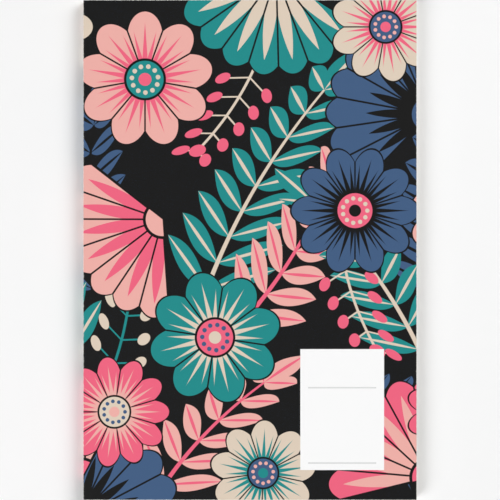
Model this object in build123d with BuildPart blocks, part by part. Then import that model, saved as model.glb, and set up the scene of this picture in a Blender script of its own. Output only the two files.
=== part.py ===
"""Perfect-bound paperback address book, closed and lying on its back cover.

The cover is one sheet of card with two folds, written as its three panels. Single
leaves stand in a block behind it, with notches milled into their spine edges, and a
film of hot glue on the spine panel holds them by ribs that fill those notches.

X runs from the spine to the fore-edge, Y from tail to head and Z from the back cover
to the front cover. The origin is the middle of the back cover's outer face.
"""

import os

from build123d import *

# Trim size of the closed book
trim_width = 152.4
trim_height = 228.6

# Leaves: two for each letter, one for the owner and one for notes
index_letters = 26
leaves_per_letter = 2
owner_leaves = 1
notes_leaves = 1
leaf_thickness = 0.11
leaf_air = 0.004

# Cover card, the air under it and the slit of its creases
card_thickness = 0.28
cover_air = 0.03
fold_gap = 0.03

# Glue film, and the notches that its ribs fill
glue_thickness = 0.4
glue_fit = 0.02
notch_count = 11
notch_pitch = 20.0
notch_width = 3.0
notch_depth = 0.8

# Stack, from the back cover up
leaf_count = index_letters * leaves_per_letter + owner_leaves + notes_leaves
leaf_pitch = leaf_thickness + leaf_air
block_thickness = leaf_count * leaf_pitch - leaf_air
block_bottom = card_thickness + cover_air
book_thickness = block_thickness + 2 * block_bottom

# Spine, from its outer face inwards
spine_face = -trim_width / 2
fore_edge = trim_width / 2
glue_start = spine_face + card_thickness
leaf_start = glue_start + glue_thickness
leaf_width = fore_edge - leaf_start

# Both folds turn about the middle of the card
fold_x = spine_face + card_thickness / 2
back_fold_z = card_thickness / 2
front_fold_z = book_thickness - card_thickness / 2
panel_start = fold_x + card_thickness / 2 + fold_gap
panel_width = fore_edge - panel_start

os.makedirs("parts", exist_ok=True)


def save(piece, name):
    """Label a finished piece and write it as its own STEP file."""
    piece.label = name
    export_step(piece, f"parts/{name}.step")


# Front panel of the cover: its hinge edge stops just short of the fold's bead
with BuildPart() as cover_front:
    with BuildSketch(Plane.XZ):
        with Locations((panel_start, front_fold_z)):
            Rectangle(panel_width, card_thickness, align=(Align.MIN, Align.CENTER))
    extrude(amount=trim_height / 2, both=True)
save(cover_front.part, "cover_front")

# Back panel of the cover, on the other fold
with BuildPart() as cover_back:
    with BuildSketch(Plane.XZ):
        with Locations((panel_start, back_fold_z)):
            Rectangle(panel_width, card_thickness, align=(Align.MIN, Align.CENTER))
    extrude(amount=trim_height / 2, both=True)
save(cover_back.part, "cover_back")

# Spine panel: a round bead along each fold, which is where the panels turn
with BuildPart() as cover_spine:
    with BuildSketch(Plane.XZ):
        with Locations((fold_x, book_thickness / 2)):
            SlotCenterToCenter(front_fold_z - back_fold_z, card_thickness, rotation=90)
    extrude(amount=trim_height / 2, both=True)
save(cover_spine.part, "cover_spine")

# Glue: a film over the block's spine, with one rib in each row of notches
with BuildPart() as spine_glue:
    with BuildSketch(Plane.YZ.offset(glue_start)):
        with Locations((0, block_bottom)):
            Rectangle(trim_height, block_thickness, align=(Align.CENTER, Align.MIN))
    extrude(amount=glue_thickness - glue_fit)
    with BuildSketch(Plane.YZ.offset(glue_start)):
        with Locations((0, book_thickness / 2)):
            with GridLocations(notch_pitch, block_thickness, notch_count, 1):
                Rectangle(notch_width - 2 * glue_fit, block_thickness)
    extrude(amount=glue_thickness + notch_depth - glue_fit)
save(spine_glue.part, "spine_glue")

# Outline of a leaf: notches run in from its spine edge
with BuildSketch() as leaf_outline:
    with Locations((leaf_start, 0)):
        Rectangle(leaf_width, trim_height, align=(Align.MIN, Align.CENTER))
        with GridLocations(0, notch_pitch, 1, notch_count):
            Rectangle(notch_depth, notch_width, align=(Align.MIN, Align.CENTER), mode=Mode.SUBTRACT)

# Leaves, counted from the front cover down
for number in range(1, leaf_count + 1):
    leaf_bottom = block_bottom + (leaf_count - number) * leaf_pitch
    with BuildPart(Plane.XY.offset(leaf_bottom)) as leaf:
        add(leaf_outline.sketch)
        extrude(amount=leaf_thickness)
    save(leaf.part, f"leaf_{number:02d}")
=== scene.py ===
"""Address book: a printed paperback of ruled and tabbed leaves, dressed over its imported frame.

Places and sizes of pieces are in metres, in the frame's own axes: X from the spine to the
fore-edge, Y from tail to head, Z from the back cover to the front cover. Every sheet carries
a map named Sheet with its flat coordinates in millimetres, and prints are drawn on that map.
"""

import math

import bpy
import numpy as np
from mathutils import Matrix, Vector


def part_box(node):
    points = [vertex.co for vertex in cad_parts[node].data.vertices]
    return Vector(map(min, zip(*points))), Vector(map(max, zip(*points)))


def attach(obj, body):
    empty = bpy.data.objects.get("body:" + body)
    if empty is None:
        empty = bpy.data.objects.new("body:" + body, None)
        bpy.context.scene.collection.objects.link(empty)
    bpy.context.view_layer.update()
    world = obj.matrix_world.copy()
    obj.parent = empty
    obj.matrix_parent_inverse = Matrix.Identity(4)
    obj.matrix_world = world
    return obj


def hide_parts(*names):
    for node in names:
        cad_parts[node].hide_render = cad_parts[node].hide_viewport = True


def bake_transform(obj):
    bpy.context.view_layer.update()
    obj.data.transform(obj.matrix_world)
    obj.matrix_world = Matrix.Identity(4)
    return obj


bl_info = {
    "name": "Address Book",
    "version": (1, 0, 0),
    "blender": (4, 5, 0),
    "location": "3D View > Sidebar > Address Book",
    "description": "Makes a paperback address book with a printed cover and tabbed pages",
    "category": "Add Mesh",
}

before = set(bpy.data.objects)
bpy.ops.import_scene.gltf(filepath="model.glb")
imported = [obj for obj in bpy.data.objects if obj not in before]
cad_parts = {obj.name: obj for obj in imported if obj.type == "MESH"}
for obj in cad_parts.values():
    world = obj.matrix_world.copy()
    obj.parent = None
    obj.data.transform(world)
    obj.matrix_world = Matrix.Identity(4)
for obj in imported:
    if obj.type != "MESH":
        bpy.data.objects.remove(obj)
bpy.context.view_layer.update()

# Measures read from the frame
MM = 0.001
front_low, front_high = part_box("cover_front")
back_low, back_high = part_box("cover_back")
spine_low, spine_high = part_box("cover_spine")
leaf_low, leaf_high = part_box("leaf_01")
leaf_names = sorted(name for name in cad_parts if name.startswith("leaf_"))

head = front_high.y
tail = front_low.y
fore_edge = front_high.x
trim_height = head - tail
leaf_width = leaf_high.x - leaf_low.x
book_top = front_high.z
card = front_high.z - front_low.z
fold_x = (spine_low.x + spine_high.x) / 2
front_fold_z = (front_low.z + front_high.z) / 2
back_fold_z = (back_low.z + back_high.z) / 2
spine_width = front_fold_z - back_fold_z


# Settings


def linear(code):
    """Linear colour of an sRGB code of six hex digits."""
    shares = [int(code[i : i + 2], 16) / 255 for i in (0, 2, 4)]
    return tuple(s / 12.92 if s <= 0.04045 else ((s + 0.055) / 1.055) ** 2.4 for s in shares)


def colour(name, description, code):
    """Colour setting whose default is given as an sRGB code."""
    return bpy.props.FloatVectorProperty(
        name=name, description=description, subtype="COLOR", size=3, min=0.0, max=1.0, default=linear(code)
    )


def length(name, description, millimetres):
    """Length setting whose default is given in millimetres."""
    return bpy.props.FloatProperty(
        name=name, description=description, unit="LENGTH", subtype="DISTANCE", default=millimetres * MM
    )


class CoverSettings(bpy.types.PropertyGroup):
    """Inks of the cover print, and its label panel."""

    ground: colour("Ground", "Near-black ground of the print", "1a1a1a")
    teal: colour("Teal", "Teal ink", "258e8d")
    cream: colour("Cream", "Cream ink", "e2d1be")
    pink: colour("Pink", "Hot pink ink", "f36884")
    blush: colour("Blush", "Blush ink", "f2b3ab")
    slate: colour("Slate", "Slate blue ink", "456085")
    label: colour("Label", "Label panel", "ffffff")
    rule: colour("Rule", "Fine rules on the label panel", "d5d5d5")
    core: colour("Card", "Bare card, seen inside the cover and at its cut edges", "f3f1ec")
    label_x: length("Label X", "Middle of the label panel, from the middle of the cover", 42.15)
    label_y: length("Label Y", "Middle of the label panel, from the middle of the cover", -72.95)
    label_width: length("Label width", "Width of the label panel", 38.3)
    label_height: length("Label height", "Height of the label panel", 55.3)
    rule_length: length("Rule length", "Length of each rule on the label", 31.1)
    rule_weight: length("Rule weight", "Thickness of each rule on the label", 0.5)
    upper_rule: length("Upper rule", "Height of the upper rule over the label's middle", 9.95)
    lower_rule: length("Lower rule", "Height of the lower rule over the label's middle", -24.45)


class PageSettings(bpy.types.PropertyGroup):
    """Paper of the leaves and what is printed on them."""

    paper: colour("Paper", "Writing paper", "f7f5f0")
    shade: colour("Shade", "Darker fibres and edges of the paper", "e4dfd3")
    ink: colour("Ink", "Black of the index tabs and letters", "262626")
    rule: colour("Rule", "Grey of the writing lines", "8d8a86")
    line_pitch: length("Line pitch", "Distance between writing lines", 9.0)
    entry_pitch: length("Entry pitch", "Distance between address entries", 48.0)
    tab_width: length("Tab width", "How far an index tab runs in from the fore-edge", 10.0)
    bend_start: length("Bend start", "Distance from the fold where a turning leaf leaves the glue", 1.4)
    bend_end: length("Bend end", "Distance from the fold where a turning leaf is flat again", 5.0)


class GlueSettings(bpy.types.PropertyGroup):
    """Colours of the glue on the spine."""

    pale: colour("Pale glue", "Thin, pale parts of the glue", "ece3cb")
    amber: colour("Amber glue", "Thick, darker parts of the glue", "d9c79c")


class StageSettings(bpy.types.PropertyGroup):
    """Floor, lamps and camera."""

    floor: colour("Floor", "Floor and backdrop", "fdfdfd")
    lamp_power: bpy.props.FloatProperty(
        name="Lamp power", description="Power of each soft lamp", unit="POWER", default=20.7, min=0.0
    )
    ambient: bpy.props.FloatProperty(
        name="Ambient", description="Strength of the even light from all round", default=0.12, min=0.0
    )
    lens: bpy.props.FloatProperty(
        name="Lens",
        description="Focal length in millimetres",
        subtype="DISTANCE_CAMERA",
        default=150.0,
        min=1.0,
    )


# Shader maths

# Width of a print's soft edges in millimetres
SOFT_EDGE = 0.16

# Width of a step from one side of a sheet to another, which is all but sudden
SUDDEN = 0.01

# Sockets of a Mix node for each kind of value: the first value, the second and the result
MIX_SOCKETS = {"RGBA": (6, 7, 2), "VECTOR": (4, 5, 1)}


class Shade:
    """Output socket among a material's nodes, on which arithmetic adds Math nodes. One without
    a socket stands for the nodes as a whole and only adds to them."""

    def __init__(self, tree, socket=None):
        self.tree = tree
        self.socket = socket

    def feed(self, target, value):
        """Link a socket to an input, or set the input's own value."""
        if isinstance(value, Shade):
            self.tree.links.new(value.socket, target)
        else:
            target.default_value = value

    def node(self, kind, settings=None, sockets=None, out=0):
        """Add a node: its settings first, then the values or links of its sockets."""
        made = self.tree.nodes.new(kind)
        for name, value in (settings or {}).items():
            setattr(made, name, value)
        for key, value in (sockets or {}).items():
            self.feed(made.inputs[key], value)
        return Shade(self.tree, made.outputs[out])

    def math(self, operation, *values, clamp=False):
        """Add a Math node, whose result is kept from 0 to 1 if clamped."""
        settings = {"operation": operation, "use_clamp": clamp}
        return self.node("ShaderNodeMath", settings, dict(enumerate(values)))

    def __add__(self, other):
        return self.math("ADD", self, other)

    def __radd__(self, other):
        return self.math("ADD", other, self)

    def __sub__(self, other):
        return self.math("SUBTRACT", self, other)

    def __rsub__(self, other):
        return self.math("SUBTRACT", other, self)

    def __mul__(self, other):
        return self.math("MULTIPLY", self, other)

    def __rmul__(self, other):
        return self.math("MULTIPLY", other, self)

    def __truediv__(self, other):
        return self.math("DIVIDE", self, other)

    def __rtruediv__(self, other):
        return self.math("DIVIDE", other, self)

    def __abs__(self):
        return self.math("ABSOLUTE", self)

    def root(self):
        """Square root."""
        return self.math("SQRT", self)

    def at_least(self, other):
        """The larger of two values."""
        return self.math("MAXIMUM", self, other)

    def at_most(self, other):
        """The smaller of two values."""
        return self.math("MINIMUM", self, other)

    def clamped(self):
        """This value, kept from 0 to 1."""
        return self.math("ADD", self, 0.0, clamp=True)

    def pingpong(self, top):
        """Runs up to top and back down, over and over."""
        return self.math("PINGPONG", self, top)

    def wrap(self, low, high):
        """Starts again at low whenever it reaches high."""
        return self.math("WRAP", self, high, low)

    def angle(self, beside):
        """Angle of the point whose height is this and whose way along is beside."""
        return self.math("ARCTAN2", self, beside)

    def edge(self, soft=SOFT_EDGE):
        """Mask that is 1 where this distance is inside a shape, with a narrow soft edge."""
        return self.math("MULTIPLY_ADD", self, -1 / soft, 0.5, clamp=True)

    def mix(self, share, first, second, kind="RGBA"):
        """Runs from the first value to the second as share runs from 0 to 1."""
        one, two, out = MIX_SOCKETS[kind]
        return self.node("ShaderNodeMix", {"data_type": kind}, {0: share, one: first, two: second}, out)

    def over(self, mask, ink):
        """This colour with an ink laid over it where the mask is 1."""
        return self.mix(mask, self, ink)

    def noise(self, scale, detail=2.0):
        """Noise over this vector, from 0 to 1."""
        return self.node("ShaderNodeTexNoise", {}, {"Vector": self, "Scale": scale, "Detail": detail})


def opaque(shares):
    """Colour setting as the four numbers that a colour socket takes."""
    return (*shares, 1.0)


def new_finish(name):
    """New material, its shader node and a Shade to add nodes with."""
    material = bpy.data.materials.new(name)
    material.use_nodes = True
    return material, material.node_tree.nodes["Principled BSDF"], Shade(material.node_tree)


def sheet_point(space):
    """The Sheet map as a vector and as its two coordinates."""
    point = space.node("ShaderNodeUVMap", {"uv_map": "Sheet"})
    split = space.node("ShaderNodeSeparateXYZ", {}, {0: point})
    return point, split, Shade(space.tree, split.socket.node.outputs[1])


def sheet_side(space):
    """1 on a sheet's upper face, -1 on its lower face and 0 on its cut edges."""
    return space.node("ShaderNodeAttribute", {"attribute_name": "side"}, out="Fac")


def roughen(space, shader, height, strength, depth):
    """Raise the surface by a height field."""
    sockets = {"Strength": strength, "Distance": depth, "Height": height}
    space.feed(shader.inputs["Normal"], space.node("ShaderNodeBump", {}, sockets))


# Motifs of the cover print, in millimetres

# The print repeats once round the book, so that it runs on over the spine and the back
PRINT_PERIOD = (fore_edge - fold_x + spine_width + card / 2) / MM

# Width of the dark line round a motif, and how far the dark gaps inside run out into it
OUTLINE = 0.8
GAP_RUN = 0.4


def place(across, up, x, y, turn):
    """Coordinates a and b, along and across a motif that stands at (x, y), turned, on the print
    that wraps round the book."""
    right = (across - x).wrap(-PRINT_PERIOD / 2, PRINT_PERIOD / 2)
    above = up - y
    c, s = math.cos(math.radians(turn)), math.sin(math.radians(turn))
    return right * c + above * s, above * c - right * s


def bloom(inks, coat, a, b, radius, petals, petal, stroke, heart, seed):
    """Round flower. In polar coordinates its rim dips by a square law between petals, brush
    strokes taper from the heart outwards, and dots ring the heart. apart runs from 0 in the
    middle of a petal to 1 between two. Sizes are shares of the radius."""
    dip = 0.26
    gap_size = 0.012
    stroke_tip = 0.84
    stroke_taper = 0.075
    heart_rim = 0.31
    heart_size = 0.275
    eye_size = 0.095
    ring_size = 0.195
    seed_size = 0.034
    seeds = 11
    strokes = 3 * petals
    r = (a * a + b * b).root()
    turn = b.angle(a)
    apart = (turn * (petals / math.pi)).pingpong(1.0)
    sunk = dip * (apart * apart)
    rim = r - radius * (1 - sunk)
    whole = rim.edge()
    coat = coat.over((rim - OUTLINE).edge(), inks["ground"])
    coat = coat.over(whole, inks[petal])
    gap = ((1 - apart) * r * (math.pi / petals) - gap_size * radius).at_least(rim - GAP_RUN)
    coat = coat.over(gap.edge(), inks["ground"])
    beside = (turn * (strokes / math.pi)).pingpong(1.0) * r * (math.pi / strokes)
    brush = (beside - stroke_taper * (radius * (stroke_tip - sunk) - r)).edge()
    coat = coat.over(brush * whole, inks[stroke])
    coat = coat.over((r - heart_rim * radius).edge(), inks["ground"])
    coat = coat.over((r - heart_size * radius).edge(), inks[heart])
    aside = (turn * (seeds / math.pi)).pingpong(1.0) * r * (math.pi / seeds)
    ring = r - ring_size * radius
    dots = (aside * aside + ring * ring).root() - seed_size * radius
    coat = coat.over(dots.edge(), inks[seed])
    return coat.over((r - eye_size * radius).edge(), inks[stroke])


def fan(inks, coat, a, b, radius, reach, body, tongue):
    """Open fan of lobes about its foot, spread by one angle to both sides. Its rim dips by a
    square law between lobes, a pointed tongue runs up each lobe, and dark ribs part the lobes.
    apart runs from 0 in the middle of a lobe to 1 between two. Sizes are shares of the radius."""
    lobes = 7
    spread = 1.15
    dip = 0.1
    tongue_taper = 0.6
    rib_size = 0.009
    foot_rim = 0.2
    foot_size = 0.17
    r = (a * a + b * b).root()
    turn = b.angle(a)
    apart = (turn * (lobes / spread)).pingpong(1.0)
    rim = r - radius * (1 - dip * apart * apart)
    outline = rim.at_least((abs(turn) - spread) * r)
    whole = outline.edge()
    coat = coat.over((outline - OUTLINE).edge(), inks["ground"])
    coat = coat.over(whole, inks[body])
    tongues = (r - radius * reach * (1 - tongue_taper * apart)).edge()
    coat = coat.over(tongues * whole, inks[tongue])
    ribs = ((1 - apart) * r * (spread / lobes) - rib_size * radius).at_least(outline - GAP_RUN)
    coat = coat.over(ribs.edge(), inks["ground"])
    coat = coat.over((r - foot_rim * radius).edge() * whole, inks["ground"])
    return coat.over((r - foot_size * radius).edge() * whole, inks[body])


def along_stem(a, b, reach, bend, pairs, lean):
    """Coordinates of the side shoots on a stem that bows as a parabola: distance from the
    stem, distance from the nearest shoot's line, that shoot's root, and a mask of the stem's
    own shoots. Shoots lean forward by shearing the plane."""
    off = abs(b - a * a * (bend / reach))
    step = reach / pairs
    slid = a - lean * off
    beside = slid.wrap(-step / 2, step / 2)
    root = slid - beside
    own = (abs(root - (reach + step) / 2) - reach / 2).edge()
    return off, beside, root, own


def sprig(inks, coat, a, b, reach, bend, pairs, leaf, width, blade, rib):
    """Stem with pairs of leaflets and one at its tip. A leaflet's half width is a parabola of
    the way along it, its rib is about a sixth of that, and leaflets shorten up the stem."""
    lean = 0.7
    longest = 1.15
    shortening = 0.65
    rib_share = 0.16
    stem_half = 1.1
    stem_taper = 0.6
    off, beside, root, own = along_stem(a, b, reach, bend, pairs, lean)
    share = off / (leaf * (longest - (shortening / reach) * root))
    half = 4 * width * share * (1 - share)
    aside = abs(beside)
    leaflet = (aside - half).edge() * own
    coat = coat.over(leaflet, inks[blade])
    coat = coat.over((aside - rib_share * half).edge() * leaflet, inks[rib])
    share = (a - reach) / leaf
    half = 4 * width * share * (1 - share)
    tip = (off - half).edge()
    coat = coat.over(tip, inks[blade])
    coat = coat.over((off - rib_share * half).edge() * tip, inks[rib])
    stem = (abs(a - reach / 2) - reach / 2).at_least(off - (stem_half - (stem_taper / reach) * a))
    return coat.over(stem.edge(), inks[rib])


def berries(inks, coat, a, b, reach, bend, pairs, stalk, berry, fruit, stem):
    """Stem with pairs of stalked berries and one at its tip, all circles. Stalks shorten up
    the stem."""
    lean = 0.45
    longest = 1.2
    shortening = 0.6
    twig_half = 0.4
    stem_half = 0.6
    tip_size = 1.15
    off, beside, root, own = along_stem(a, b, reach, bend, pairs, lean)
    out = off - stalk * (longest - (shortening / reach) * root)
    twig = (abs(beside) - twig_half).at_least(out)
    coat = coat.over(twig.edge() * own, inks[stem])
    main_stem = (abs(a - reach / 2) - reach / 2).at_least(off - stem_half)
    coat = coat.over(main_stem.edge(), inks[stem])
    ball = (beside * beside + out * out).root() - berry
    coat = coat.over(ball.edge() * own, inks[fruit])
    beyond = a - reach
    tip = (beyond * beyond + off * off).root() - tip_size * berry
    return coat.over(tip.edge(), inks[fruit])


# Each motif of the print, from the lowest up: x, y and turn, then what its function takes
LAYOUT = (
    (sprig, -24, -30, 72, 116, -0.2, 9, 24, 5.4, "teal", "cream"),
    (sprig, -8, -38, 46, 82, 0.2, 7, 21, 5.0, "blush", "pink"),
    (sprig, -70, -30, 100, 86, -0.16, 7, 22, 5.0, "slate", "ground"),
    (sprig, 82, -56, 112, 92, 0.22, 8, 21, 4.8, "teal", "cream"),
    (sprig, -46, -118, 60, 76, -0.22, 6, 20, 4.8, "blush", "pink"),
    (sprig, 14, -68, -12, 60, 0.2, 5, 19, 4.6, "slate", "ground"),
    (berries, 4, 88, -112, 50, -0.2, 5, 10, 2.8, "pink", "cream"),
    (berries, -66, -62, 66, 66, 0.25, 6, 10, 2.8, "cream", "teal"),
    (berries, 42, 0, -82, 48, 0.2, 5, 10, 2.8, "pink", "cream"),
    (fan, 82, 62, 160, 47, 0.62, "slate", "ground"),
    (fan, -40, 14, 208, 45, 0.86, "blush", "pink"),
    (fan, 12, 126, -98, 46, 0.86, "teal", "cream"),
    (fan, -78, -122, 56, 46, 0.62, "slate", "ground"),
    (fan, 82, -104, 128, 46, 0.86, "pink", "blush"),
    (bloom, -48, 78, 10, 31, 9, "blush", "pink", "teal", "cream"),
    (bloom, 48, 18, 0, 29, 10, "slate", "ground", "pink", "cream"),
    (bloom, -16, -40, 14, 30, 8, "teal", "cream", "pink", "slate"),
    (bloom, -62, -74, 0, 25, 11, "pink", "blush", "cream", "slate"),
    (bloom, 6, -102, 8, 24, 9, "cream", "teal", "slate", "blush"),
    (bloom, 62, 102, 0, 25, 9, "cream", "pink", "slate", "blush"),
)


def label_panel(settings, inks, coat, across, up):
    """Bare label: a rectangle with two fine rules across it."""
    beside = abs(across - settings.label_x / MM)
    above = up - settings.label_y / MM
    panel = (beside - settings.label_width / MM / 2).at_least(abs(above) - settings.label_height / MM / 2)
    coat = coat.over(panel.edge(), inks["label"])
    for level in (settings.upper_rule, settings.lower_rule):
        off = abs(above - level / MM) - settings.rule_weight / MM / 2
        coat = coat.over(off.at_least(beside - settings.rule_length / MM / 2).edge(), inks["rule"])
    return coat


def rubbed(point, across, up):
    """How far the print is worn off: in uneven patches along the cut edges and the folds."""
    patch_scale = 0.8
    patch_detail = 4.0
    reach = 0.5
    wear = 0.6
    fold_relief = 0.08
    spine_middle = (fold_x - spine_width / 2) / MM
    from_spine = abs(across - spine_middle)
    from_edge = (fore_edge / MM - spine_middle - from_spine).at_most(head / MM - abs(up))
    from_fold = abs(from_spine - spine_width / MM / 2) + fold_relief
    patch = point.noise(patch_scale, patch_detail)
    return (from_edge.at_most(from_fold) - reach * patch * patch).edge() * wear


def printed_card(settings):
    """Card printed and laminated on its outer face, bare inside and at its cut edges."""
    grain_scale = 3.0
    grain_detail = 4.0
    fleck_start = 0.62
    fleck_gain = 3.0
    film_scale = 0.12
    film_detail = 3.0
    film_rough = 0.4
    film_spread = 0.1
    film_shine = 0.12
    card_rough = 0.8
    bump_strength = 0.06
    bump_depth = 0.05 * MM
    names = ("ground", "teal", "cream", "pink", "blush", "slate", "label", "rule", "core")
    inks = {name: opaque(getattr(settings, name)) for name in names}
    material, shader, space = new_finish("printed_card")
    point, across, up = sheet_point(space)
    grain = point.noise(grain_scale, grain_detail)
    fleck = space.math("MULTIPLY", grain - fleck_start, fleck_gain, clamp=True)
    coat = space.mix(fleck, inks["ground"], inks["slate"])
    for motif, x, y, turn, *rest in LAYOUT:
        a, b = place(across, up, x, y, turn)
        coat = motif(inks, coat, a, b, *rest)
    coat = label_panel(settings, inks, coat, across, up)
    coat = coat.over(rubbed(point, across, up), inks["core"])
    bare = (sheet_side(space) - 0.5).edge(SUDDEN)
    space.feed(shader.inputs["Base Color"], coat.over(bare, inks["core"]))
    laminate = film_rough + film_spread * point.noise(film_scale, film_detail)
    space.feed(shader.inputs["Roughness"], laminate + bare * (card_rough - laminate))
    shader.inputs["Specular IOR Level"].default_value = film_shine
    roughen(space, shader, grain, bump_strength, bump_depth)
    return material


# Sheets

# Shares of a texture's width that a sheet's upper and lower face take
CARD_TEXTURE = (0.92, 0.04)
LEAF_TEXTURE = (0.485, 0.485)


def sheet_faces(kept):
    """Faces of a closed sheet over a grid of cells: upper faces, lower faces and four runs of
    walls. Corners are counted over the upper side and then on over the lower one. A kept cell
    has a face on both sides, and a wall joins the sides wherever a kept cell meets one that is
    cut out, or the border."""
    lines = (kept.shape[0] + 1, kept.shape[1] + 1)
    count = math.prod(lines)
    index = np.arange(count).reshape(lines)
    upper = np.stack([index[:-1, :-1], index[1:, :-1], index[1:, 1:], index[:-1, 1:]], -1)[kept]
    lower = upper[:, ::-1] + count
    border = np.pad(kept, 1).astype(int)
    steps = (
        (border[1:, 1:-1] - border[:-1, 1:-1], index[:, :-1], index[:, 1:]),
        (border[1:-1, :-1] - border[1:-1, 1:], index[:-1, :], index[1:, :]),
    )
    walls = []
    for step, start, stop in steps:
        for turn, first, last in ((1, start, stop), (-1, stop, start)):
            one, two = first[step == turn], last[step == turn]
            walls.append(np.stack([one, two, two + count, one + count], -1))
    return upper, lower, walls


def sheet_mesh(name, points, quads, side):
    """Mesh of a sheet: its two sides smooth, its walls, whose side is 0, flat and sharp."""
    mesh = bpy.data.meshes.new(name)
    mesh.vertices.add(len(points))
    mesh.vertices.foreach_set("co", points.astype(np.float32).ravel())
    mesh.loops.add(quads.size)
    mesh.loops.foreach_set("vertex_index", quads.astype(np.int32).ravel())
    mesh.polygons.add(len(quads))
    mesh.polygons.foreach_set("loop_start", np.arange(0, quads.size, 4, dtype=np.int32))
    mesh.polygons.foreach_set("use_smooth", side != 0)
    mesh.update(calc_edges=True)
    mesh.attributes.new("side", "FLOAT", "FACE").data.foreach_set("value", side.astype(np.float32))
    edges = np.empty(quads.size, np.int32)
    mesh.loops.foreach_get("edge_index", edges)
    cut = np.isin(np.arange(len(mesh.edges)), edges.reshape(-1, 4)[side == 0])
    mesh.attributes.new("sharp_edge", "BOOLEAN", "EDGE").data.foreach_set("value", cut)
    return mesh


def texture_places(u, v, side, walls, below, shares):
    """Places of all corners on one texture: the upper face, the lower face beside it, and then
    a narrow strip for each run of walls, whose lower corners lie at the strip's right. The
    first two runs follow the rows and the others cross them."""
    gap = 0.006
    strip = 0.003
    strip_share = 0.7
    upper_share, lower_share = shares
    run = np.repeat(np.arange(len(walls)), [len(faces) for faces in walls])[:, None]
    wall_u = upper_share + lower_share + 2 * gap + strip * (run + strip_share * below[side == 0])
    wall_v = np.where(run < 2, v[side == 0], u[side == 0])
    tiles = (
        np.stack([upper_share * u, v], -1)[side == 1],
        np.stack([upper_share + gap + lower_share * u, v], -1)[side == -1],
        np.stack([wall_u, wall_v], -1),
    )
    return np.concatenate(tiles)


def add_map(mesh, name, places):
    """Add a map to a mesh: two coordinates for each corner of each face."""
    mesh.uv_layers.new(name=name).data.foreach_set("uv", places.astype(np.float32).ravel())


def sheet(name, along, rows, half, kept, lay, flat_along, flat_rows, texture):
    """Thin closed sheet over a grid of two parameters.

    Each grid point has an upper and a lower point, half above and half below the sheet's
    middle. lay takes the way along, the row and the height over the middle, and gives a point's
    place in the frame. kept says which cells of the grid are there. flat_along and flat_rows
    are the Sheet map's coordinates of the grid lines, and texture is the share of a texture's
    width that the upper and the lower face take.
    """
    a, r = np.meshgrid(along, rows, indexing="ij")
    h = np.broadcast_to(half[:, None], a.shape)
    points = np.concatenate([np.stack(lay(a, r, s * h), -1).reshape(-1, 3) for s in (1, -1)])
    upper, lower, walls = sheet_faces(kept)
    quads = np.concatenate([upper, lower, *walls])
    side = np.repeat([1.0, -1.0, 0.0], [len(upper), len(lower), sum(map(len, walls))])
    mesh = sheet_mesh(name, points, quads, side)
    i, j = np.divmod(quads % a.size, len(rows))
    add_map(mesh, "Sheet", np.stack([flat_along[i], flat_rows[j]], -1))
    u = (along[i] - along.min()) / np.ptp(along)
    v = (rows[j] - rows.min()) / np.ptp(rows)
    add_map(mesh, "OFBake", texture_places(u, v, side, walls, quads >= a.size, texture))
    piece = bpy.data.objects.new(name, mesh)
    bpy.context.scene.collection.objects.link(piece)
    return piece


def card_grid(start, stop):
    """Grid lines across a panel of card from its fold to its cut edge, and half its thickness
    there: a half circle about the fold, then level. The half circle stops just short of the
    quarter turn where it would close, so that a narrow wall joins the two sides there."""
    nose_turn = 88
    nose_lines = 10
    flat_lines = 25
    turns = np.radians(np.linspace(nose_turn, 0, nose_lines))
    nose = start - card / 2 * np.sin(turns)
    flat = np.linspace(start, stop, flat_lines)[1:]
    half = np.concatenate([card / 2 * np.cos(turns), np.full(len(flat), card / 2)])
    return np.concatenate([nose, flat]), half


def dress(piece, material, node):
    """Give a piece its finish and put it in place of its solid."""
    piece.data.materials.append(material)
    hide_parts(node)


class ADDRESS_BOOK_OT_cover(bpy.types.Operator):
    """Make the cover, one printed sheet of card in three panels that meet at its folds"""

    bl_idname = "address_book.cover"
    bl_label = "Cover"

    def execute(self, context):
        row_lines = 37
        rise_lines = 5
        material = printed_card(context.scene.address_book_cover)
        panel, half = card_grid(fold_x, fore_edge)
        rows = np.linspace(tail, head, row_lines)
        whole = np.ones((len(panel) - 1, len(rows) - 1), bool)
        front = sheet(
            "front_cover_card", panel, rows, half, whole,
            lambda a, r, h: (a, r, front_fold_z + h),
            panel / MM, rows / MM, CARD_TEXTURE,
        )
        back = sheet(
            "back_cover_card", panel, rows, half, whole,
            lambda a, r, h: (a, -r, back_fold_z - h),
            (2 * fold_x - panel - spine_width) / MM, -rows / MM, CARD_TEXTURE,
        )
        rise = np.linspace(back_fold_z, front_fold_z, rise_lines)
        spine = sheet(
            "spine_cover_card", rise, rows, np.full(len(rise), card / 2), whole[: len(rise) - 1],
            lambda a, r, h: (fold_x - h, r, a),
            (fold_x + rise - front_fold_z) / MM, rows / MM, CARD_TEXTURE,
        )
        for piece, node, body in (
            (front, "cover_front", "front_cover"),
            (back, "cover_back", "back_cover"),
            (spine, "cover_spine", "binding"),
        ):
            dress(piece, material, node)
            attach(piece, body)
        return {"FINISHED"}


# Pages

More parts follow.
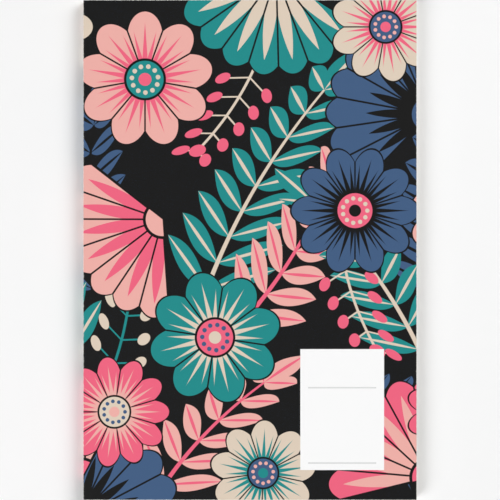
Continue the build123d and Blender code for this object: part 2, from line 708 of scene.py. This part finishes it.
# Strokes of each letter, as points of a grid of three columns and five rows:
#     a b c
#     d e f
#     g h i
#     j k l
#     m n o
# A capital is no stop on the way but the corner that a curve bends towards.
STROKES = {
    "A": "mgAbCio gi",
    "B": "ma abCfIhg hIlOnm",
    "C": "fCbAgMnOl",
    "D": "ma abCiOnm",
    "E": "camo gh",
    "F": "cam gh",
    "G": "fCbAgMnOlih",
    "H": "am co gi",
    "I": "bn",
    "J": "clOnMj",
    "K": "am cg eo",
    "L": "amo",
    "M": "mahco",
    "N": "maoc",
    "O": "bCiOnMgAb",
    "P": "ma abCfIhg",
    "Q": "bCiOnMgAb ko",
    "R": "ma abCfIhg ho",
    "S": "fCbAdGhIlOnMj",
    "T": "ac bn",
    "U": "ajMnOlc",
    "V": "anc",
    "W": "amhoc",
    "X": "ao cm",
    "Y": "ahc hn",
    "Z": "acmo",
}
LETTERS = list(STROKES)
LEAVES_PER_LETTER = 2

# Page layout in millimetres, from the spine edge of the leaf and from its tail
PAGE_LEFT, PAGE_RIGHT = 18.0, 134.0
PAGE_MIDDLE = (PAGE_LEFT + PAGE_RIGHT) / 2
FIRST_ENTRY = 202.0
LAST_LINE = 10.0
LINE_INDENT = 5.0
COLUMN_GAP = (76.0, 79.0)
HEADING_X, HEADING_Y = 24.0, 213.0
HEADING_HEIGHT = 10.0
HEADING_BAR = (205.4, 206.0)
TAB_TOP = 222.0
TAB_HEIGHT = 8.2
TAB_LETTER = 4.8
OWNER_FRAME = (18.0, 210.0)
OWNER_LINES = (40.0, 128.0)
OWNER_FLOWER = 166.0
NOTES_LINES = (20.0, 200.0)


def letter_runs(letter):
    """Straight runs of a letter one unit high about the origin. A curve is a parabola from stop
    to stop, bent towards its corner and cut into runs."""
    width = 0.62
    cuts = 5

    def spot(name):
        row, column = divmod(ord(name.lower()) - ord("a"), 3)
        return np.array([(column / 2 - 0.5) * width, 0.5 - row / 4, 0.0])

    for stroke in STROKES[letter].split():
        track = spot(stroke[0])[None]
        for before, name in zip(stroke, stroke[1:]):
            if name.isupper():
                continue
            first, last = track[-1], spot(name)
            curved = before.isupper()
            corner = spot(before) if curved else (first + last) / 2
            t = np.linspace(0, 1, cuts + 1 if curved else 2)[1:, None]
            track = np.concatenate([track, (1 - t) ** 2 * first + 2 * t * (1 - t) * corner + t**2 * last])
        yield from zip(track, track[1:])


def letter_mask(point, letter):
    """Mask of a letter: the least distance to its runs, each measured to the nearest point on
    the run, less half the pen's width. Sizes are shares of the letter's height."""
    half_pen = 0.065
    soft = 0.025

    def vector(operation, *values, out=0):
        return point.node("ShaderNodeVectorMath", {"operation": operation}, dict(enumerate(values)), out)

    nearest = None
    for first, last in letter_runs(letter):
        run = last - first
        offset = vector("SUBTRACT", point, tuple(first))
        share = vector("DOT_PRODUCT", offset, tuple(run / (run @ run)), out=1)
        foot = vector("MULTIPLY", share.clamped(), tuple(run))
        off = vector("DISTANCE", offset, foot, out=1)
        nearest = off if nearest is None else nearest.at_most(off)
    return (nearest - half_pen).edge(soft)


def between(value, low, high):
    """Distance outside a span, less than 0 within it."""
    return abs(value - (low + high) / 2) - (high - low) / 2


def page_rules(settings, coat, reading, up, face, grey, black):
    """Address entries: in each, five writing lines at one pitch, a heavier first line, the last
    two lines parted into columns, and a mark before each line, larger on the first."""
    light = 0.12
    heavier = 0.12
    mark_place = 1.2
    mark_size = 0.55
    mark_larger = 0.65
    pitch = settings.line_pitch / MM
    entry = settings.entry_pitch / MM
    after_first = 1.5 * pitch
    after_third = 3.5 * pitch
    down = (FIRST_ENTRY - up).wrap(0.0, entry)
    beside_line = down.wrap(-pitch / 2, pitch / 2)
    inside = (0.5 * pitch - down).at_least(between(up, LAST_LINE, FIRST_ENTRY))
    first = (down - after_first).edge()
    parted = (0.0 - between(reading, *COLUMN_GAP)).at_most(down - after_third)
    span = between(reading, PAGE_LEFT + LINE_INDENT, PAGE_RIGHT).at_least(parted)
    rules = (abs(beside_line) - (light + heavier * first)).at_least(span).at_least(inside)
    coat = coat.over(rules.edge() * face, grey)
    from_mark = abs(reading - (PAGE_LEFT + mark_place)).at_least(abs(beside_line + mark_place))
    mark = from_mark - (mark_size + mark_larger * first)
    return coat.over(mark.at_least(inside).edge() * face, black)


def paper(settings, name):
    """Uncoated paper with fibres, cloudy in the sheet, a little darker or lighter by leaf, and
    more so at its cut edges."""
    fibre_shape = (2.2, 0.8, 1.0)
    fibre_detail = 4.0
    cloud_scale = 0.05
    fibre_tone = 0.35
    cloud_tone = 0.2
    edge_tint = 1.1
    face_tint = 0.2
    rough = 0.78
    rough_spread = 0.12
    shine = 0.25
    bump_strength = 0.12
    bump_depth = 0.04 * MM
    material, shader, space = new_finish(name)
    point, across, up = sheet_point(space)
    stretched = space.node("ShaderNodeMapping", {}, {"Vector": point, "Scale": fibre_shape})
    fibre = stretched.noise(1.0, fibre_detail)
    tint = space.node("ShaderNodeAttribute", {"attribute_name": "tint"}, out="Fac")
    tint_share = edge_tint - (edge_tint - face_tint) * abs(sheet_side(space))
    depth = fibre_tone * fibre + cloud_tone * point.noise(cloud_scale) + tint * tint_share
    coat = space.mix(depth, opaque(settings.paper), opaque(settings.shade))
    space.feed(shader.inputs["Roughness"], rough + rough_spread * fibre)
    shader.inputs["Specular IOR Level"].default_value = shine
    roughen(space, shader, fibre, bump_strength, bump_depth)
    return material, shader, space, coat, across, up


def letter_page(settings, number):
    """Leaf of one letter: entries on both sides, a heading, and an index tab that bleeds off
    the fore-edge, one step lower for each letter. Lines and letters follow the way each side
    is read, so the lower side mirrors the upper one."""
    letter = LETTERS[number]
    material, shader, space, coat, across, up = paper(settings, f"page_{letter.lower()}")
    black, grey, bright = opaque(settings.ink), opaque(settings.rule), opaque(settings.paper)
    side = sheet_side(space)
    face = abs(side)
    reading = PAGE_MIDDLE + (across - PAGE_MIDDLE) * side
    coat = page_rules(settings, coat, reading, up, face, grey, black)
    bar = between(up, *HEADING_BAR).at_least(between(reading, PAGE_LEFT, PAGE_RIGHT))
    coat = coat.over(bar.edge() * face, black)
    tab_width = settings.tab_width / MM
    tab_inner = leaf_width / MM - tab_width
    tab_middle = TAB_TOP - TAB_HEIGHT * (number + 0.5)
    beyond_tab = tab_inner - across
    tab = beyond_tab.at_least(abs(up - tab_middle) - TAB_HEIGHT / 2)
    coat = coat.over(tab.edge(), black)
    heading_x = (reading - HEADING_X) / HEADING_HEIGHT
    heading_y = (up - HEADING_Y) / HEADING_HEIGHT
    heading = space.node("ShaderNodeCombineXYZ", {}, {0: heading_x, 1: heading_y})
    index_x = (across - (tab_inner + tab_width / 2)) / TAB_LETTER * side
    index_y = (up - tab_middle) / TAB_LETTER
    index = space.node("ShaderNodeCombineXYZ", {}, {0: index_x, 1: index_y})
    in_tab = beyond_tab.edge()
    glyph = letter_mask(space.mix(in_tab, heading, index, "VECTOR"), letter) * face
    coat = coat.over(glyph * (1 - in_tab), black)
    coat = coat.over(glyph * in_tab, bright)
    space.feed(shader.inputs["Base Color"], coat)
    return material


def owner_page(settings):
    """First leaf: a double frame with a flower and lines for the owner's own address."""
    heavy = 0.35
    light = 0.12
    frame_gap = 2.4
    line_half = 0.14
    line_pitch = 12.0
    line_inset = 14.0
    flower_radius = 22.0
    petals = 9
    material, shader, space, coat, across, up = paper(settings, "page_owner")
    black, grey = opaque(settings.ink), opaque(settings.rule)
    recto = (0.5 - sheet_side(space)).edge(SUDDEN)
    outline = between(across, PAGE_LEFT, PAGE_RIGHT).at_least(between(up, *OWNER_FRAME))
    frames = (abs(outline) - heavy).at_most(abs(outline + frame_gap) - light)
    coat = coat.over(frames.edge() * recto, black)
    line = abs(up.wrap(-line_pitch / 2, line_pitch / 2)) - line_half
    span = between(across, PAGE_LEFT + line_inset, PAGE_RIGHT - line_inset)
    lines = line.at_least(span).at_least(between(up, *OWNER_LINES))
    coat = coat.over(lines.edge() * recto, grey)
    inks = {"ground": coat, "grey": grey, "black": black}
    a, b = across - PAGE_MIDDLE, up - OWNER_FLOWER
    flower = bloom(inks, coat, a, b, flower_radius, petals, "grey", "ground", "black", "ground")
    space.feed(shader.inputs["Base Color"], coat.over(recto, flower))
    return material


def notes_page(settings):
    """Last leaf: plain writing lines on both sides."""
    line_half = 0.13
    material, shader, space, coat, across, up = paper(settings, "page_notes")
    pitch = settings.line_pitch / MM
    line = abs(up.wrap(-pitch / 2, pitch / 2)) - line_half
    lines = line.at_least(between(across, PAGE_LEFT, PAGE_RIGHT)).at_least(between(up, *NOTES_LINES))
    space.feed(shader.inputs["Base Color"], coat.over(lines.edge(), opaque(settings.rule)))
    return material


def leaf_grid():
    """Grid lines of a leaf, close together where it comes out of the glue, the rows at the sides of its
    notches, and which cells are paper: all but the notches in its spine edge."""
    trim = 0.05 * MM
    bend_from = 0.4 * MM
    bend_to = 6.0 * MM
    flat_from = 10.0 * MM
    bend_lines = 25
    flat_lines = 6
    digits = 6
    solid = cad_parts["leaf_01"].data
    corners = np.empty(3 * len(solid.vertices), np.float32)
    solid.vertices.foreach_get("co", corners)
    across, up = corners.reshape(-1, 3).T[:2]
    lines_x = np.unique(np.round(across, digits))
    lines_y = np.unique(np.round(up, digits))
    rows = np.concatenate([[tail + trim], lines_y[1:-1], [head - trim]])
    bend = np.linspace(lines_x[1] + bend_from, lines_x[1] + bend_to, bend_lines)
    flat = np.linspace(lines_x[1] + flat_from, lines_x[-1], flat_lines)
    along = np.concatenate([lines_x[:2], bend, flat])
    kept = np.ones((len(along) - 1, len(rows) - 1), bool)
    kept[0, 1::2] = False
    return along, rows, kept


def leaf_sheet(name, along, rows, kept, tint):
    """One leaf, a level sheet at its place in the block, and the height of its middle."""
    low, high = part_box(name)
    middle = (low.z + high.z) / 2
    half = np.full(len(along), (high.z - low.z) / 2)
    leaf = sheet(
        f"{name}_sheet", along, rows, half, kept,
        lambda a, r, h: (a, r, middle + h),
        (along - leaf_low.x) / MM, (rows - tail) / MM, LEAF_TEXTURE,
    )
    tints = np.full(len(leaf.data.polygons), tint, np.float32)
    leaf.data.attributes.new("tint", "FLOAT", "FACE").data.foreach_set("value", tints)
    return leaf, middle


class ADDRESS_BOOK_OT_leaves(bpy.types.Operator):
    """Make the leaves, each a level sheet of paper whose grid lines are close where it comes out of the
    glue
    """

    bl_idname = "address_book.leaves"
    bl_label = "Leaves"

    def execute(self, context):
        settings = context.scene.address_book_pages
        letters = [letter_page(settings, number) for number in range(len(LETTERS))]
        finishes = [owner_page(settings)]
        finishes += [page for page in letters for _ in range(LEAVES_PER_LETTER)]
        finishes += [notes_page(settings)]
        if len(finishes) != len(leaf_names):
            raise RuntimeError("the frame has another number of leaves than the pages need")
        along, rows, kept = leaf_grid()
        # Steps of the golden ratio spread the tints and keep those of neighbours apart
        golden = (math.sqrt(5) - 1) / 2
        for number, (name, finish) in enumerate(zip(leaf_names, finishes)):
            leaf, middle = leaf_sheet(name, along, rows, kept, number * golden % 1)
            dress(leaf, finish, name)
            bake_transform(leaf)
        return {"FINISHED"}


def hot_glue(settings):
    """Set glue, waxy and uneven: amber on its lumps and pale between them."""
    lump_scale = 700.0
    lump_detail = 3.0
    rough = 0.35
    rough_spread = 0.25
    bump_strength = 0.4
    bump_depth = 0.1 * MM
    material, shader, space = new_finish("hot_glue")
    lumps = space.node("ShaderNodeTexCoord", out="Object").noise(lump_scale, lump_detail)
    coat = space.mix(lumps, opaque(settings.pale), opaque(settings.amber))
    space.feed(shader.inputs["Base Color"], coat)
    space.feed(shader.inputs["Roughness"], rough + rough_spread * lumps)
    roughen(space, shader, lumps, bump_strength, bump_depth)
    return material


class ADDRESS_BOOK_OT_glue(bpy.types.Operator):
    """Give the glue on the spine its waxy, slightly uneven finish"""

    bl_idname = "address_book.glue"
    bl_label = "Glue"

    def execute(self, context):
        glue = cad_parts["spine_glue"]
        glue.data.materials.clear()
        glue.data.materials.append(hot_glue(context.scene.address_book_glue))
        return {"FINISHED"}


# Stage

WHITE = (1.0, 1.0, 1.0, 1.0)

# Floor in metres: its reach, the curve up into its wall, that wall, and the gap under the book
FLOOR_RADIUS = 4.0
FLOOR_CURVE = 1.0
WALL_HEIGHT = 2.0
FLOOR_GAP = 0.02 * MM

# Bearings of the lamps round the book in degrees, then their places and size in metres
LAMP_BEARINGS = {"left_lamp": 220, "right_lamp": 40}
LAMP_DISTANCE = 1.3
LAMP_HEIGHT = 1.15
LAMP_SIZE = 1.1

# Width of the camera's sensor in millimetres
SENSOR_WIDTH = 36.0


def bowl(name, radius, curve, height):
    """Floor that turns up into a wall all round: a profile, level out to the curve, then a
    quarter circle, then upright, carried round a circle."""
    middle_share = 0.1
    curve_lines = 13
    sides = 96
    bend = np.radians(np.linspace(0, 90, curve_lines))
    reach = np.concatenate([[middle_share * radius], radius - curve + curve * np.sin(bend), [radius]])
    rise = np.concatenate([[0.0], curve - curve * np.cos(bend), [height]])
    around = np.linspace(0, 2 * math.pi, sides + 1)[:-1]
    x, y = np.outer(reach, np.cos(around)), np.outer(reach, np.sin(around))
    points = np.stack([x, y, np.broadcast_to(rise[:, None], x.shape)], -1).reshape(-1, 3)
    index = np.arange(len(points)).reshape(x.shape)
    beside = np.roll(index, -1, 1)
    quads = np.stack([index[:-1], index[1:], beside[1:], beside[:-1]], -1).reshape(-1, 4)
    mesh = bpy.data.meshes.new(name)
    mesh.from_pydata(points.tolist(), [], [*quads.tolist(), index[0].tolist()])
    piece = bpy.data.objects.new(name, mesh)
    bpy.context.scene.collection.objects.link(piece)
    return piece


def seen(space):
    """1 for rays that show a surface: straight from the camera, off gloss or through glass."""
    rays = space.node("ShaderNodeLightPath").socket.node.outputs
    kinds = ("Is Camera Ray", "Is Glossy Ray", "Is Transmission Ray")
    camera, gloss, glass = (Shade(space.tree, rays[kind]) for kind in kinds)
    return camera.at_least(gloss).at_least(glass)


def floor_finish(settings):
    """Pale matt floor with a faint speckle, which fades to plain white away from the book."""
    speckle_scale = 60.0
    speckle_tone = 0.985
    rough = 0.9
    fade_middle = 0.7
    fade_width = 0.8
    material, shader, space = new_finish("floor")
    spot = space.node("ShaderNodeTexCoord", out="Object")
    dim = [speckle_tone * share for share in settings.floor]
    coat = space.mix(spot.noise(speckle_scale), opaque(settings.floor), opaque(dim))
    space.feed(shader.inputs["Base Color"], coat)
    shader.inputs["Roughness"].default_value = rough
    shader.inputs["Specular IOR Level"].default_value = 0.0
    far = space.node("ShaderNodeVectorMath", {"operation": "LENGTH"}, {0: spot}, 1)
    fade = (fade_middle - far).edge(fade_width) * seen(space)
    white = space.node("ShaderNodeEmission", {}, {"Color": WHITE, "Strength": 1.0})
    lit = Shade(space.tree, shader.outputs[0])
    surface = space.node("ShaderNodeMixShader", {}, {0: fade, 1: lit, 2: white})
    space.feed(space.tree.nodes["Material Output"].inputs["Surface"], surface)
    return material


def hang_lamp(name, bearing, power):
    """Soft square lamp at a bearing round the book, turned towards it."""
    light = bpy.data.lights.new(name, "AREA")
    light.shape = "SQUARE"
    light.size = LAMP_SIZE
    light.energy = power
    lamp = bpy.data.objects.new(name, light)
    turn = math.radians(bearing)
    lamp.location = (LAMP_DISTANCE * math.cos(turn), LAMP_DISTANCE * math.sin(turn), LAMP_HEIGHT)
    lamp.rotation_euler = lamp.location.to_track_quat("Z", "Y").to_euler()
    lamp.visible_camera = False
    bpy.context.scene.collection.objects.link(lamp)


def even_light(strength):
    """World of plain white light from all round."""
    world = bpy.data.worlds.new("studio")
    world.use_nodes = True
    backdrop = world.node_tree.nodes["Background"]
    backdrop.inputs["Color"].default_value = WHITE
    backdrop.inputs["Strength"].default_value = strength
    return world


def camera_above(lens):
    """Camera straight above the cover, so far off that the book's height fills the picture."""
    camera = bpy.data.objects.new("camera", bpy.data.cameras.new("camera"))
    camera.data.lens = lens
    camera.data.sensor_width = SENSOR_WIDTH
    distance = trim_height * lens / SENSOR_WIDTH
    camera.location = (0.0, (head + tail) / 2, book_top + distance)
    bpy.context.scene.collection.objects.link(camera)
    return camera


class ADDRESS_BOOK_OT_stage(bpy.types.Operator):
    """Set out the floor, the lamps and the camera that looks straight down on the cover"""

    bl_idname = "address_book.stage"
    bl_label = "Stage"

    def execute(self, context):
        scene = context.scene
        settings = scene.address_book_stage
        floor = bowl("floor", FLOOR_RADIUS, FLOOR_CURVE, WALL_HEIGHT)
        floor.location.z = back_low.z - FLOOR_GAP
        floor.data.materials.append(floor_finish(settings))
        for name, bearing in LAMP_BEARINGS.items():
            hang_lamp(name, bearing, settings.lamp_power)
        scene.world = even_light(settings.ambient)
        scene.camera = camera_above(settings.lens)
        scene.view_settings.view_transform = "Standard"
        return {"FINISHED"}


class ADDRESS_BOOK_PT_sidebar(bpy.types.Panel):
    """Settings of the address book and the steps that make it"""

    bl_idname = "ADDRESS_BOOK_PT_sidebar"
    bl_label = "Address Book"
    bl_space_type = "VIEW_3D"
    bl_region_type = "UI"
    bl_category = "Address Book"

    def draw(self, context):
        for group in SETTINGS:
            box = self.layout.box()
            settings = getattr(context.scene, group)
            for name in settings.__annotations__:
                box.prop(settings, name)
        for operator in OPERATORS:
            self.layout.operator(operator.bl_idname)


OPERATORS = (
    ADDRESS_BOOK_OT_cover,
    ADDRESS_BOOK_OT_leaves,
    ADDRESS_BOOK_OT_glue,
    ADDRESS_BOOK_OT_stage,
)
SETTINGS = {
    "address_book_cover": CoverSettings,
    "address_book_pages": PageSettings,
    "address_book_glue": GlueSettings,
    "address_book_stage": StageSettings,
}
CLASSES = (*SETTINGS.values(), *OPERATORS, ADDRESS_BOOK_PT_sidebar)


def register():
    for cls in CLASSES:
        bpy.utils.register_class(cls)
    for name, group in SETTINGS.items():
        setattr(bpy.types.Scene, name, bpy.props.PointerProperty(type=group))


def unregister():
    for name in SETTINGS:
        delattr(bpy.types.Scene, name)
    for cls in reversed(CLASSES):
        bpy.utils.unregister_class(cls)


def main():
    """Register the add-on and make every piece in order."""
    register()
    bpy.ops.address_book.cover()
    bpy.ops.address_book.leaves()
    bpy.ops.address_book.glue()
    bpy.ops.address_book.stage()


if __name__ == "__main__":
    main()
